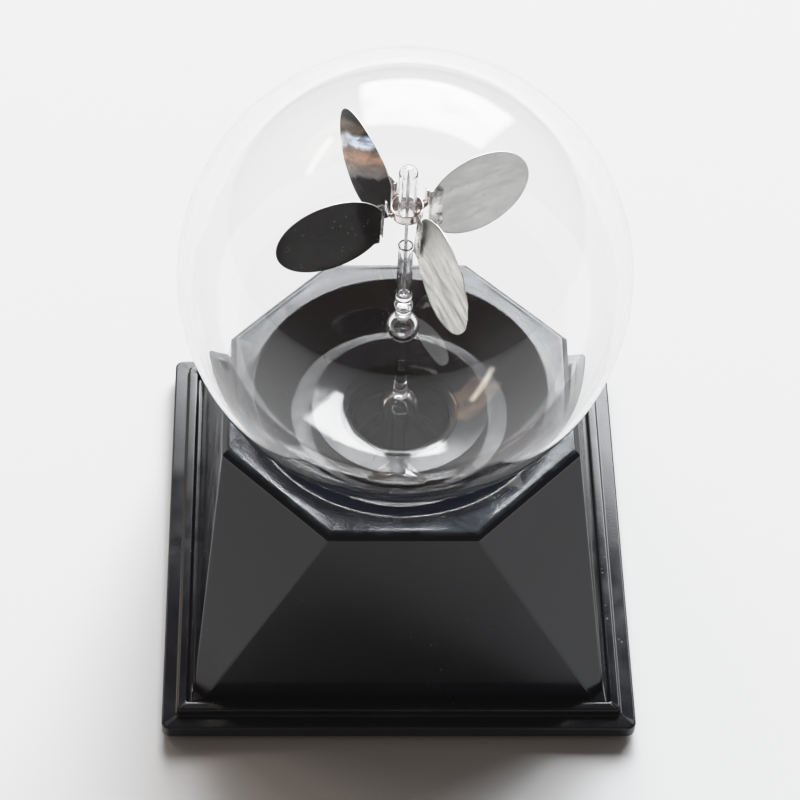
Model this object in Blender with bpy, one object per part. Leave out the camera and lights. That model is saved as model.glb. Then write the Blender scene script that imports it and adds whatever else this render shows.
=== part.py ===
"""Desk radiometer: a glass bulb with a four-vane light mill, standing in an octagonal pedestal.

Lengths are in metres. The feet rest on z = 0, and the Z axis is the axis of the bulb and of the mill.
"""

import math

import bmesh
import bpy
from mathutils import Matrix, Vector

GAP = 0.0003  # clearance between pieces that touch

# Pedestal
BASE_WIDTH = 0.0900
FOOT_HEIGHT = 0.0009
RIM_Z = FOOT_HEIGHT + GAP
PLINTH_CORNER = 0.0016
PLINTH_TOP_Z = RIM_Z + 0.00305
MOULDING_HALF = 0.0421
MOULDING_TOP_Z = PLINTH_TOP_Z + 0.0018
FRUSTUM_HALF = 0.0390
FRUSTUM_CORNER = 0.0020
FRUSTUM_Z = PLINTH_TOP_Z + 0.0010
LIP_HALF = 0.0330
LIP_Z = RIM_Z + 0.0468
DECK_HALF = 0.0319
DECK_Z = RIM_Z + 0.0482
OCTAGON_CUT = 1 - math.tan(math.pi / 8)  # corner cut of a regular octagon, as a share of its half-width
WALL = 0.0022

# Bulb
BULB_RADIUS = 0.0403
BULB_Z = RIM_Z + 0.0817
GLASS = 0.0009
NECK_RADIUS = 0.0096
NECK_FILLET = 0.0020
NECK_END_Z = 0.0310

# Seat in the pedestal: a dish of its own round shape, a floor, and the sloping ring that the bulb rests on
DISH_RADIUS = 0.0355
DISH_CENTRE_Z = 0.0709
DISH_EDGE = 0.0282
DISH_END = 0.0209
FLOOR_Z = 0.0420
REST_INNER = 0.0114
REST_OUTER = 0.0170
REST_SLOPE = math.radians(15)
SOCKET_OUTER = 0.0140
LEDGE_INNER = 0.0104
LEDGE_Z = 0.0319
SOCKET_END_Z = 0.0297

# Underside
OPENING_HALF = 0.0370
OPENING_CORNER = 0.0030
COVER_THICKNESS = 0.0020
COVER_Z = RIM_Z + GAP
BOSS_PLACE = 0.0315
BOSS_RADIUS = 0.0032
BOSS_BORE = 0.0015
BOSS_BOTTOM_Z = COVER_Z + COVER_THICKNESS + GAP
SCREW_SHANK = 0.0011
SCREW_HEAD = 0.0026
SCREW_LENGTH = 0.0100
FOOT_PLACE = 0.0407
FOOT_RADIUS = 0.0032

# Stem inside the bulb
FLARE_TUBE = 0.0036
FLARE_WALL = 0.0008
PRESS_Z = 0.0490
EXHAUST_RADIUS = 0.0017
EXHAUST_TIP_Z = 0.0225
BALL_RADIUS = 0.0030
BALL_Z = RIM_Z + 0.0678
BEAD_RADIUS = 0.00170
BEAD_HEIGHT = 0.0033
BEAD_BULGE = 0.00055
TUBE_BOTTOM_Z = BALL_Z + BALL_RADIUS + BEAD_HEIGHT + 2 * GAP
TUBE_TOP_Z = RIM_Z + 0.0898
TUBE_RADIUS = 0.00148
TUBE_BORE = 0.00075
TUBE_FLOOR = 0.0019  # solid glass below the bore
NEEDLE_RADIUS = 0.0003
NEEDLE_TIP_Z = 0.1097

# Mill
CAP_RADIUS = 0.00165
CAP_BORE = 0.00115
CAP_BOTTOM_Z = RIM_Z + 0.0976
CAP_DOME = 0.0005
COLLAR_RADIUS = 0.0039
COLLAR_SHEET = 0.00035
COLLAR_HEIGHT = 0.0030
CLIP_SHEET = 0.0002
CLIP_INNER = COLLAR_RADIUS + GAP
CLIP_WEB = 0.00025
CLIP_LENGTH = 0.0024
CLIP_HEIGHT = 0.0090
CLIP_RISE = 0.0005  # of the clip's middle over the vane's
VANE_SHEET = 0.0003
VANE_ROOT = CLIP_INNER + CLIP_WEB + GAP
VANE_TIP = 0.0237
VANE_LENGTH_RADIUS = 0.0099
VANE_HEIGHT_RADIUS = 0.0091
VANE_Z = RIM_Z + 0.0968
VANE_BEND_START = 0.0072
# Each vane, as bent by hand: azimuth, lean about its own radial line, rise per unit of its length, and
# the radius that it is curled to, clockwise outwards (None: flat)
VANES = (
    (25.0, -1.5, 0.0, None),
    (125.0, 1.0, 0.13, 0.055),
    (198.5, -5.5, -0.03, None),
    (294.5, -4.5, -0.12, None),
)

SIDE_STEPS = 4  # points along each of the eight stretches of a pedestal outline
TURN_STEPS = 40


# Materials and objects

def material(name, colour, roughness, metallic=0.0, transmission=0.0):
    made = bpy.data.materials.new(name)
    made.use_nodes = True
    shader = made.node_tree.nodes["Principled BSDF"]
    shader.inputs["Base Color"].default_value = (*colour, 1.0)
    shader.inputs["Roughness"].default_value = roughness
    shader.inputs["Metallic"].default_value = metallic
    shader.inputs["Transmission Weight"].default_value = transmission
    made.diffuse_color = (*colour, 1.0 - 0.65 * transmission)
    return made


def add_object(name, bm, look, parent=None, place=(0, 0, 0), turn=(0, 0, 0), smooth=True):
    """Makes a named object of a bmesh, at a place and a turn (XYZ, radians) in its parent's space."""
    bmesh.ops.recalc_face_normals(bm, faces=bm.faces)
    mesh = bpy.data.meshes.new(name)
    bm.to_mesh(mesh)
    bm.free()
    if smooth:
        mesh.shade_smooth()
        mesh.set_sharp_from_angle(angle=math.radians(24))
    if look:
        mesh.materials.append(look)
    obj = bpy.data.objects.new(name, mesh)
    bpy.context.scene.collection.objects.link(obj)
    obj.parent = parent
    obj.location = place
    obj.rotation_euler = turn
    return obj


def add_empty(name, height):
    empty = bpy.data.objects.new(name, None)
    bpy.context.scene.collection.objects.link(empty)
    empty.location = (0, 0, height)
    return empty


def add_boolean(target, other, operation):
    """Joins or cuts with a helper object, which isn't rendered."""
    other.hide_render = True
    other.display_type = "WIRE"
    step = target.modifiers.new(other.name, "BOOLEAN")
    step.operation = operation
    step.solver = "EXACT"
    step.object = other


# Shapes

def arc(centre, radius, start, end, steps):
    """Points (r, z) on a circular arc, both ends included. Angles are in degrees from +r towards +z."""
    points = []
    for step in range(steps + 1):
        angle = math.radians(start + (end - start) * step / steps)
        points.append((centre[0] + radius * math.cos(angle), centre[1] + radius * math.sin(angle)))
    return points


def bridge(bm, first, second):
    """Quads between two loops of the same number of vertices."""
    count = len(first)
    for i in range(count):
        j = (i + 1) % count
        bm.faces.new((first[i], first[j], second[j], second[i]))


def turned(profile, steps=TURN_STEPS, base=0.0):
    """A solid of revolution about Z. The profile is (r, z) points round the section.

    A profile that starts and ends at r = 0 closes on the axis, and any other closes on itself.
    """
    bm = bmesh.new()
    on_axis = profile[0][0] == 0 and profile[-1][0] == 0
    rows = profile[1:-1] if on_axis else profile
    angles = [math.tau * k / steps for k in range(steps)]
    loops = [
        [bm.verts.new((r * math.cos(a), r * math.sin(a), z - base)) for a in angles] for r, z in rows
    ]
    for first, second in zip(loops, loops[1:]):
        bridge(bm, first, second)
    if not on_axis:
        bridge(bm, loops[-1], loops[0])
        return bm
    for (_, z), loop in ((profile[0], loops[0]), (profile[-1], loops[-1])):
        pole = bm.verts.new((0, 0, z - base))
        for i in range(steps):
            bm.faces.new((pole, loop[i], loop[(i + 1) % steps]))
    return bm


def extruded(outline, low, high):
    """A prism on an (x, y) outline."""
    bm = bmesh.new()
    bottom = [bm.verts.new((x, y, low)) for x, y in outline]
    top = [bm.verts.new((x, y, high)) for x, y in outline]
    bridge(bm, bottom, top)
    bm.faces.new(bottom)
    bm.faces.new(top)
    return bm


def side_outline(half, corner, rounded):
    """Four sides at `half` from the axis, each corner cut off straight or rounded to a quarter circle."""
    straight = half - corner
    points = []
    for quarter in range(4):
        turn = Matrix.Rotation(quarter * math.pi / 2, 2)
        for step in range(SIDE_STEPS):
            along = 2 * step / SIDE_STEPS - 1
            points.append(turn @ Vector((half, straight * along)))
        for step in range(SIDE_STEPS):
            share = step / SIDE_STEPS
            angle = share * math.pi / 2
            if rounded:
                point = Vector((straight + corner * math.cos(angle), straight + corner * math.sin(angle)))
            else:
                point = Vector((half, straight)).lerp(Vector((straight, half)), share)
            points.append(turn @ point)
    return points


def round_outline(radius):
    """A circle with as many points as side_outline, starting at the same azimuth."""
    count = 8 * SIDE_STEPS
    angles = [math.tau * k / count - math.pi / 8 for k in range(count)]
    return [Vector((radius * math.cos(a), radius * math.sin(a))) for a in angles]


def stacked(rows):
    """A ring-shaped solid from (outline, z) rows, in order round the section."""
    bm = bmesh.new()
    loops = [[bm.verts.new((p.x, p.y, z)) for p in outline] for outline, z in rows]
    for k, loop in enumerate(loops):
        bridge(bm, loop, loops[(k + 1) % len(loops)])
    return bm


# Pedestal pieces

def sphere_z(centre_z, radius, at):
    """Height of the lower half of a sphere centred on the axis, at a distance from the axis."""
    return centre_z - math.sqrt(radius**2 - at**2)


def plinth_rows():
    half = BASE_WIDTH / 2
    edge = 0.0004
    rows = [
        (side_outline(half - edge, PLINTH_CORNER - edge, True), RIM_Z),
        (side_outline(half, PLINTH_CORNER, True), RIM_Z + edge),
        (side_outline(half, PLINTH_CORNER, True), PLINTH_TOP_Z - edge),
        (side_outline(half - edge, PLINTH_CORNER - edge, True), PLINTH_TOP_Z),
    ]
    corner = 0.0010
    steps = (
        (0.0, PLINTH_TOP_Z),
        (0.0, MOULDING_TOP_Z - 0.0006),
        (0.0002, MOULDING_TOP_Z - 0.0002),
        (0.0006, MOULDING_TOP_Z),
        (0.0013, MOULDING_TOP_Z),
        (0.0018, MOULDING_TOP_Z - 0.0004),
        (0.0020, FRUSTUM_Z - 0.0003),
        (0.0026, FRUSTUM_Z - 0.0003),
    )
    for inset, z in steps:
        rows.append((side_outline(MOULDING_HALF - inset, corner, True), z))
    return rows


def frustum_rows():
    return [
        (side_outline(FRUSTUM_HALF, FRUSTUM_CORNER, False), FRUSTUM_Z),
        (side_outline(LIP_HALF, LIP_HALF * OCTAGON_CUT, False), LIP_Z),
        (side_outline(DECK_HALF, DECK_HALF * OCTAGON_CUT, False), DECK_Z),
    ]


def seat_rows():
    """From the deck's round edge down the dish, over the floor and the sloping rest, into the socket."""
    rest_z = sphere_z(BULB_Z, BULB_RADIUS + GAP, REST_INNER)
    rows = [(DISH_EDGE, DECK_Z), (DISH_EDGE - 0.0003, DECK_Z - 0.0002)]
    outer, steps = DISH_EDGE - 0.0004, 7
    for step in range(steps + 1):
        r = outer + (DISH_END - outer) * step / steps
        rows.append((r, sphere_z(DISH_CENTRE_Z, DISH_RADIUS, r)))
    rows += [
        (DISH_END - 0.0006, FLOOR_Z),
        (REST_OUTER + 0.0004, FLOOR_Z),
        (REST_OUTER, FLOOR_Z + 0.0004),
        (REST_OUTER, rest_z + (REST_OUTER - REST_INNER) * math.tan(REST_SLOPE)),
        (REST_INNER, rest_z),
        (REST_INNER, LEDGE_Z),
        (LEDGE_INNER, LEDGE_Z),
        (LEDGE_INNER, SOCKET_END_Z),
        (SOCKET_OUTER, SOCKET_END_Z),
    ]
    return [(round_outline(r), z) for r, z in rows]


def inside_rows():
    """From the socket's outside along the underside of the dish and down the inner wall."""
    below = DISH_RADIUS + WALL
    inner_top = LIP_HALF - WALL + 0.0002
    rows = [
        (round_outline(SOCKET_OUTER), FLOOR_Z - WALL),
        (round_outline(0.0205), FLOOR_Z - WALL),
        (round_outline(0.0250), sphere_z(DISH_CENTRE_Z, below, 0.0250)),
        (round_outline(0.0290), sphere_z(DISH_CENTRE_Z, below, 0.0290)),
        (side_outline(inner_top, inner_top * OCTAGON_CUT, False), LIP_Z - 0.0018),
        (side_outline(OPENING_HALF - GAP, OPENING_CORNER / 2, False), FRUSTUM_Z),
        (side_outline(OPENING_HALF, OPENING_CORNER, True), PLINTH_TOP_Z - 0.0004),
        (side_outline(OPENING_HALF, OPENING_CORNER, True), RIM_Z),
    ]
    return rows


def corners(place):
    """The four corners of a square, as (x, y)."""
    return [(x * place, y * place) for x, y in ((1, 1), (-1, 1), (-1, -1), (1, -1))]


def merged(make, places):
    """One bmesh that holds a copy of a shape at each (x, y) place."""
    whole = bmesh.new()
    for x, y in places:
        piece = make()
        bmesh.ops.translate(piece, verts=piece.verts, vec=(x, y, 0))
        mesh = bpy.data.meshes.new("copy")
        piece.to_mesh(mesh)
        piece.free()
        whole.from_mesh(mesh)
        bpy.data.meshes.remove(mesh)
    return whole


def boss():
    """A blind screw boss, tall enough to run into the sloping wall without coming through it."""
    reach = math.sqrt(2) * BOSS_PLACE + BOSS_RADIUS + 0.0004
    foot = (2 * FRUSTUM_HALF - FRUSTUM_CORNER) / math.sqrt(2)
    lean = (foot - LIP_HALF) / (LIP_Z - FRUSTUM_Z)
    top = FRUSTUM_Z + (foot - reach) / lean
    return turned([
        (0, top),
        (BOSS_RADIUS, top),
        (BOSS_RADIUS, BOSS_BOTTOM_Z),
        (BOSS_BORE, BOSS_BOTTOM_Z),
        (BOSS_BORE, top - WALL),
        (0, top - WALL),
    ], steps=20)


def add_pedestal(parent, plastic):
    rows = plinth_rows() + frustum_rows() + seat_rows() + inside_rows()
    shell = add_object("pedestal_shell", stacked(rows), plastic, parent)
    bosses = add_object("boss_helper", merged(boss, corners(BOSS_PLACE)), None, parent)
    add_boolean(shell, bosses, "UNION")


def countersink():
    """The cutter of one screw hole in the cover."""
    bottom, top = COVER_Z - 0.001, COVER_Z + COVER_THICKNESS + 0.001
    shank = SCREW_SHANK + GAP
    head = SCREW_HEAD + GAP
    return turned([
        (0, top),
        (shank, top),
        (shank, COVER_Z + 0.0002 + head - shank),
        (head, COVER_Z + 0.0002),
        (head, bottom),
        (0, bottom),
    ], steps=20)


def add_bottom_cover(parent, plastic):
    half = OPENING_HALF - GAP - 0.0001
    outline = [(p.x, p.y) for p in side_outline(half, OPENING_CORNER - GAP, True)]
    plate = extruded(outline, COVER_Z, COVER_Z + COVER_THICKNESS)
    cover = add_object("bottom_cover", plate, plastic, parent)
    holes = add_object("countersink_helper", merged(countersink, corners(BOSS_PLACE)), None, parent)
    add_boolean(cover, holes, "DIFFERENCE")


def add_cover_screws(parent, steel):
    """Countersunk screws with a round drive recess, modelled head down about their own origin."""
    face = COVER_Z + 0.0003
    recess = 0.0009
    for number, (x, y) in enumerate(corners(BOSS_PLACE), start=1):
        shape = turned([
            (0, SCREW_LENGTH),
            (SCREW_SHANK * 0.5, SCREW_LENGTH - 0.0002),
            (SCREW_SHANK, SCREW_LENGTH - 0.0010),
            (SCREW_SHANK, SCREW_HEAD - SCREW_SHANK),
            (SCREW_HEAD, 0.0001),
            (SCREW_HEAD - 0.0001, 0),
            (recess, 0),
            (recess * 0.4, 0.0010),
            (0, 0.0011),
        ], steps=16)
        add_object(f"cover_screw_{number}", shape, steel, parent, (x, y, face))


def add_feet(parent, rubber):
    edge = 0.0003
    for number, (x, y) in enumerate(corners(FOOT_PLACE), start=1):
        shape = turned([
            (0, FOOT_HEIGHT),
            (FOOT_RADIUS, FOOT_HEIGHT),
            (FOOT_RADIUS, edge),
            (FOOT_RADIUS - edge, 0),
            (0, 0),
        ], steps=20)
        add_object(f"foot_{number}", shape, rubber, parent, (x, y, 0))


def add_grommet(parent, rubber):
    """The soft ring between the bulb's neck and the socket's bore."""
    inner, outer = NECK_RADIUS + GAP, REST_INNER - GAP
    low, high = LEDGE_Z + GAP, LEDGE_Z + 0.0050
    edge = 0.0005
    shape = turned([
        (outer - edge, high),
        (outer, high - edge),
        (outer, low),
        (inner, low),
        (inner, high - edge),
        (inner + edge, high),
    ], steps=32)
    add_object("neck_grommet", shape, rubber, parent)


# Bulb and stem pieces

def bulb_profile(offset, steps):
    """The globe, the fillet and the neck at an offset inside the outer surface, from top to bottom."""
    radius = BULB_RADIUS - offset
    neck = NECK_RADIUS - offset
    centre_r = NECK_RADIUS + NECK_FILLET
    centre_z = BULB_Z - math.sqrt((BULB_RADIUS + NECK_FILLET) ** 2 - centre_r**2)
    joint = math.degrees(math.asin(centre_r / (BULB_RADIUS + NECK_FILLET)))
    globe = arc((0, BULB_Z), radius, 90, joint - 90, steps)
    fillet = arc((centre_r, centre_z), NECK_FILLET + offset, joint + 90, 180, 3)
    return globe[1:] + fillet[1:] + [(neck, NECK_END_Z + GLASS / 2)]


def add_bulb(parent, glass):
    """The envelope is open at the foot of its neck, where the flare closes it."""
    outer, inner = bulb_profile(0, 24), bulb_profile(GLASS, 14)
    middle = NECK_RADIUS - GLASS / 2
    lip = [(middle + GLASS * 0.35, NECK_END_Z + 0.0001), (middle - GLASS * 0.35, NECK_END_Z + 0.0001)]
    profile = [(0, BULB_Z + BULB_RADIUS)] + outer + lip + inner[::-1] + [(0, BULB_Z + BULB_RADIUS - GLASS)]
    shape = turned(profile, base=BULB_Z)
    add_object("glass_bulb", shape, glass, parent)


def flare_profile(offset):
    """From the tube down the bell, at an offset inside the outer surface."""
    top, bottom = PRESS_Z - 0.0040, NECK_END_Z + 0.0003
    mouth = NECK_RADIUS - GLASS - GAP
    steps = 6
    points = []
    for step in range(steps + 1):
        share = step / steps
        r = FLARE_TUBE + (mouth - FLARE_TUBE) * share**2.2
        points.append((r - offset, top + (bottom - top) * share))
    return points


def add_flare(parent, glass):
    """The re-entrant bell that closes the neck. Its crown is the press that the rod grows out of."""
    outer = flare_profile(0)
    inner = flare_profile(FLARE_WALL)
    crown = [(0, PRESS_Z), (0.0026, PRESS_Z - 0.0008), (FLARE_TUBE, PRESS_Z - 0.0026)]
    roof = PRESS_Z - 0.0038
    profile = crown + outer + inner[::-1] + [(FLARE_TUBE - FLARE_WALL - 0.0005, roof), (0, roof + 0.0003)]
    add_object("stem_flare", turned(profile, steps=24, base=BULB_Z), glass, parent)


def add_exhaust_tube(parent, glass):
    """The pump-out stub, drawn down to a sealed tip."""
    top = PRESS_Z - 0.0038 - GAP
    bore = 0.0010
    profile = [
        (0, EXHAUST_TIP_Z),
        (0.0005, EXHAUST_TIP_Z + 0.0003),
        (0.0011, EXHAUST_TIP_Z + 0.0018),
        (EXHAUST_RADIUS, EXHAUST_TIP_Z + 0.0050),
        (EXHAUST_RADIUS, top),
        (bore, top),
        (bore, EXHAUST_TIP_Z + 0.0065),
        (bore * 0.6, EXHAUST_TIP_Z + 0.0042),
        (0, EXHAUST_TIP_Z + 0.0030),
    ]
    add_object("exhaust_tube", turned(profile, steps=16, base=BULB_Z), glass, parent)


def add_stem_rod(parent, glass):
    low, high = PRESS_Z + GAP, BALL_Z - BALL_RADIUS - GAP
    profile = [
        (0, high),
        (0.0010, high),
        (0.0013, high - 0.0004),
        (0.0014, (low + high) / 2),
        (0.0018, low + 0.0008),
        (0.0016, low),
        (0, low),
    ]
    add_object("stem_rod", turned(profile, steps=20, base=BULB_Z), glass, parent)


def add_bead_ball(parent, glass):
    side = arc((0, BALL_Z), BALL_RADIUS, 90, -90, 12)[1:-1]
    profile = [(0, BALL_Z + BALL_RADIUS)] + side + [(0, BALL_Z - BALL_RADIUS)]
    add_object("bead_ball", turned(profile, steps=24, base=BULB_Z), glass, parent)


def add_bead_ring(parent, glass):
    """The short post between the ball and the tube, with a ring-shaped bulge round its top."""
    low = BALL_Z + BALL_RADIUS + GAP
    top = low + BEAD_HEIGHT
    post = BEAD_RADIUS - 0.0002
    bulge = arc((BEAD_RADIUS - BEAD_BULGE, top - BEAD_BULGE), BEAD_BULGE, 90, -50, 6)
    profile = [(0, top)] + bulge + [(post, top - 2.2 * BEAD_BULGE), (post, low), (0, low)]
    add_object("bead_ring", turned(profile, steps=24, base=BULB_Z), glass, parent)


def add_needle_tube(parent, glass):
    low = TUBE_BOTTOM_Z
    top = TUBE_TOP_Z
    mouth = TUBE_RADIUS - 0.00012
    profile = [
        (0, low),
        (TUBE_RADIUS - 0.0004, low),
        (TUBE_RADIUS, low + 0.0004),
        (TUBE_RADIUS - 0.0002, top - 0.0008),
        (mouth, top - 0.0002),
        (mouth - 0.0002, top),
        (TUBE_BORE + 0.0002, top),
        (TUBE_BORE, top - 0.0003),
        (TUBE_BORE, low + TUBE_FLOOR + 0.0005),
        (TUBE_BORE * 0.6, low + TUBE_FLOOR + 0.0001),
        (0, low + TUBE_FLOOR),
    ]
    add_object("needle_tube", turned(profile, steps=24, base=BULB_Z), glass, parent)


def add_needle(parent, steel):
    low = TUBE_BOTTOM_Z + TUBE_FLOOR + GAP
    profile = [
        (0, NEEDLE_TIP_Z),
        (0.00006, NEEDLE_TIP_Z - 0.0001),
        (NEEDLE_RADIUS, NEEDLE_TIP_Z - 0.0030),
        (NEEDLE_RADIUS, low + 0.0001),
        (NEEDLE_RADIUS - 0.0001, low),
        (0, low),
    ]
    add_object("needle", turned(profile, steps=16, base=BULB_Z), steel, parent)


# Mill pieces, about the needle's tip

def add_glass_cap(parent, glass):
    """A small test tube, mouth down, whose dome sits over the needle's tip."""
    inner_top = NEEDLE_TIP_Z + GAP
    outer = arc((0, inner_top + CAP_DOME - CAP_RADIUS), CAP_RADIUS, 90, 0, 6)[1:]
    inner = arc((0, inner_top - CAP_BORE), CAP_BORE, 90, 0, 5)[1:]
    lip = 0.0001
    profile = (
        [(0, inner_top + CAP_DOME)]
        + outer
        + [(CAP_RADIUS, CAP_BOTTOM_Z + lip), (CAP_RADIUS - lip, CAP_BOTTOM_Z)]
        + [(CAP_BORE + lip, CAP_BOTTOM_Z), (CAP_BORE, CAP_BOTTOM_Z + lip)]
        + inner[::-1]
        + [(0, inner_top)]
    )
    add_object("glass_cap", turned(profile, steps=24, base=NEEDLE_TIP_Z), glass, parent)


def add_hub_collar(parent, steel):
    """A shallow sheet-metal cup round the cap's lower end, open in the middle."""
    inner = CAP_RADIUS + GAP
    bottom = CAP_BOTTOM_Z - 0.0002
    top = bottom + COLLAR_HEIGHT
    bend = 0.0014
    outer = [(COLLAR_RADIUS, top)] + arc((COLLAR_RADIUS - bend, bottom + bend), bend, 0, -90, 4)
    inside = arc((COLLAR_RADIUS - bend, bottom + bend), bend - COLLAR_SHEET, -90, 0, 4)
    profile = (
        outer
        + [(inner, bottom), (inner, bottom + COLLAR_SHEET)]
        + inside
        + [(COLLAR_RADIUS - COLLAR_SHEET, top)]
    )
    add_object("hub_collar", turned(profile, steps=28, base=NEEDLE_TIP_Z), steel, parent)


def clip_shape():
    """An L-shaped tab: a web across the vane's root and a leaf on the vane's silver side."""
    web_end = CLIP_INNER + CLIP_WEB
    tip = CLIP_INNER + CLIP_LENGTH
    near = -VANE_SHEET / 2 - GAP
    far = near - CLIP_SHEET
    outline = [
        (CLIP_INNER, far),
        (tip, far),
        (tip, near),
        (web_end, near),
        (web_end, VANE_SHEET / 2),
        (CLIP_INNER, VANE_SHEET / 2),
    ]
    low = CLIP_RISE - CLIP_HEIGHT / 2
    return extruded(outline, low, low + CLIP_HEIGHT)


def curled(along, side, radius):
    """Bends a point of a flat vane clockwise about a vertical axis, from the clip outwards."""
    if radius is None or along <= VANE_BEND_START:
        return along, side
    angle = (along - VANE_BEND_START) / radius
    reach = radius + side
    return VANE_BEND_START + reach * math.sin(angle), side - reach * (1 - math.cos(angle))


def vane_shape(rise, radius):
    """An oval plate cut off straight at its root, standing along +X."""
    bm = bmesh.new()
    centre = VANE_TIP - VANE_LENGTH_RADIUS
    first = math.acos((VANE_ROOT - centre) / VANE_LENGTH_RADIUS)
    steps = 20
    columns = []
    for step in range(steps + 1):
        angle = first * (1 - step / steps)
        along = centre + VANE_LENGTH_RADIUS * math.cos(angle)
        height = max(VANE_HEIGHT_RADIUS * math.sin(angle), 0.0006)
        ring = []
        for side, level in ((-1, -1), (1, -1), (1, 1), (-1, 1)):
            x, y = curled(along, side * VANE_SHEET / 2, radius)
            ring.append(bm.verts.new((x, y, level * height + rise * (along - VANE_ROOT))))
        columns.append(ring)
    for near, far in zip(columns, columns[1:]):
        bridge(bm, near, far)
    bm.faces.new(columns[0])
    bm.faces.new(columns[-1])
    return bm


def add_vanes(parent, steel, foil):
    place = (0, 0, VANE_Z - NEEDLE_TIP_Z)
    for number, (azimuth, lean, rise, radius) in enumerate(VANES, start=1):
        turn = (math.radians(lean), 0, math.radians(azimuth))
        add_object(f"vane_clip_{number}", clip_shape(), steel, parent, place, turn, smooth=False)
        add_object(f"vane_{number}", vane_shape(rise, radius), foil, parent, place, turn, smooth=False)


# The whole object

def clear_scene():
    for obj in list(bpy.data.objects):
        bpy.data.objects.remove(obj, do_unlink=True)


def main():
    clear_scene()
    plastic = material("black_plastic", (0.012, 0.012, 0.013), 0.18)
    rubber = material("dark_rubber", (0.02, 0.02, 0.02), 0.8)
    screw_steel = material("screw_steel", (0.45, 0.45, 0.46), 0.35, metallic=1.0)
    bright_steel = material("bright_steel", (0.70, 0.68, 0.66), 0.15, metallic=1.0)
    glass = material("clear_glass", (0.95, 0.97, 0.97), 0.02, transmission=1.0)
    foil = material("blackened_foil", (0.03, 0.03, 0.035), 0.25)

    base = add_empty("base", 0)
    add_pedestal(base, plastic)
    add_bottom_cover(base, plastic)
    add_cover_screws(base, screw_steel)
    add_feet(base, rubber)
    add_grommet(base, rubber)

    bulb = add_empty("bulb_axis", BULB_Z)
    add_bulb(bulb, glass)
    add_flare(bulb, glass)
    add_exhaust_tube(bulb, glass)
    add_stem_rod(bulb, glass)
    add_bead_ball(bulb, glass)
    add_bead_ring(bulb, glass)
    add_needle_tube(bulb, glass)
    add_needle(bulb, bright_steel)

    mill = add_empty("mill_axis", NEEDLE_TIP_Z)
    add_glass_cap(mill, glass)
    add_hub_collar(mill, bright_steel)
    add_vanes(mill, bright_steel, foil)


main()
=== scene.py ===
"""Looks of the desk radiometer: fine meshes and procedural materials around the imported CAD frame.

Lengths are in metres, in the frame's own axes. The bulb is round about the Z axis, and the mill turns on it.
"""

import math

import bmesh
import bpy
from mathutils import Matrix, Vector, noise


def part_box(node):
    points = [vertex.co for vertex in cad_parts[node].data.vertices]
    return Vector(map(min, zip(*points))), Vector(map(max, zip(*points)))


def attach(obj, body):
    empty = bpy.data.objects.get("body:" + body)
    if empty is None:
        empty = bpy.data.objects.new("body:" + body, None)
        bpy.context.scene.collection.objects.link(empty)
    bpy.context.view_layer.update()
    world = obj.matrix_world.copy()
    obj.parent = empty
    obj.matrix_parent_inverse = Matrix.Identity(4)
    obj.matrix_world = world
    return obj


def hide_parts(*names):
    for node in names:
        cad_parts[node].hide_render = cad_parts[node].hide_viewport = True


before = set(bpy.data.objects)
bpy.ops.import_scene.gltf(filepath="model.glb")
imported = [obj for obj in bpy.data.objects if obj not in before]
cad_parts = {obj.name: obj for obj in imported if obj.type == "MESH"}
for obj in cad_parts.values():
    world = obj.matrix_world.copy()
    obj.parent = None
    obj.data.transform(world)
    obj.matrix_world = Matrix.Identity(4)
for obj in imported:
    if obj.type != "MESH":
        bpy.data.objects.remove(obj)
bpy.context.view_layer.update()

GAP = 0.0003  # clearance between pieces that touch

# Pedestal: half-widths from the axis, and heights in the frame
PLINTH_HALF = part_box("pedestal_shell")[1].x
RIM_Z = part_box("pedestal_shell")[0].z
DECK_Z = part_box("pedestal_shell")[1].z
PLINTH_CORNER = 0.0016
PLINTH_TOP_Z = RIM_Z + 0.00305
PLINTH_EDGE = 0.0004
MOULDING_HALF = 0.0421
MOULDING_WIDTH = 0.0020
MOULDING_EDGE = 0.00045
MOULDING_TOP_Z = PLINTH_TOP_Z + 0.0018
FRUSTUM_HALF = 0.0390
FRUSTUM_CUT = 0.0020
FRUSTUM_Z = PLINTH_TOP_Z + 0.0010
FRUSTUM_FILLET = 0.0009
LIP_HALF = 0.0330
LIP_Z = DECK_Z - 0.0014
DECK_HALF = 0.0319
OCTAGON_CUT = 1 - math.tan(math.pi / 8)  # corner cut of a regular octagon, as a share of its half-width
DECK_CREASE = 0.0307  # radius of the circle where the deck begins to fall towards the seat
CREASE_DEPTH = 0.00005
DECK_SAG = 0.00012
WALL = 0.0022  # thickness of the plastic

# Bulb
BULB_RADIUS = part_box("glass_bulb")[1].x
BULB_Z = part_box("glass_bulb")[1].z - BULB_RADIUS
NECK_END_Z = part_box("glass_bulb")[0].z
GLASS = 0.0009  # thickness of its wall
NECK_RADIUS = 0.0096
NECK_FILLET = 0.0020

# Seat in the pedestal: a dish that is part of a sphere, then a floor, a sloping rest and a socket
DISH_RADIUS = 0.0355
DISH_CENTRE_Z = 0.0709
DISH_EDGE = 0.0282
DISH_LIP = 0.0006  # width of the rounded edge between deck and dish
DISH_END = 0.0209
FLOOR_Z = 0.0420
FLOOR_RISE = 0.00005  # of the narrow floor's outer end over its inner end
REST_INNER = 0.0114
REST_OUTER = 0.0170
REST_SLOPE = math.radians(15)
RING_RADIUS = 0.0212  # of the low ridge round the dish
RING_HEIGHT = 0.000015
RING_HALF_WIDTH = 0.00045
SOCKET_OUTER = 0.0140
LEDGE_INNER = 0.0104
LEDGE_Z = 0.0319
SOCKET_END_Z = 0.0297

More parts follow.
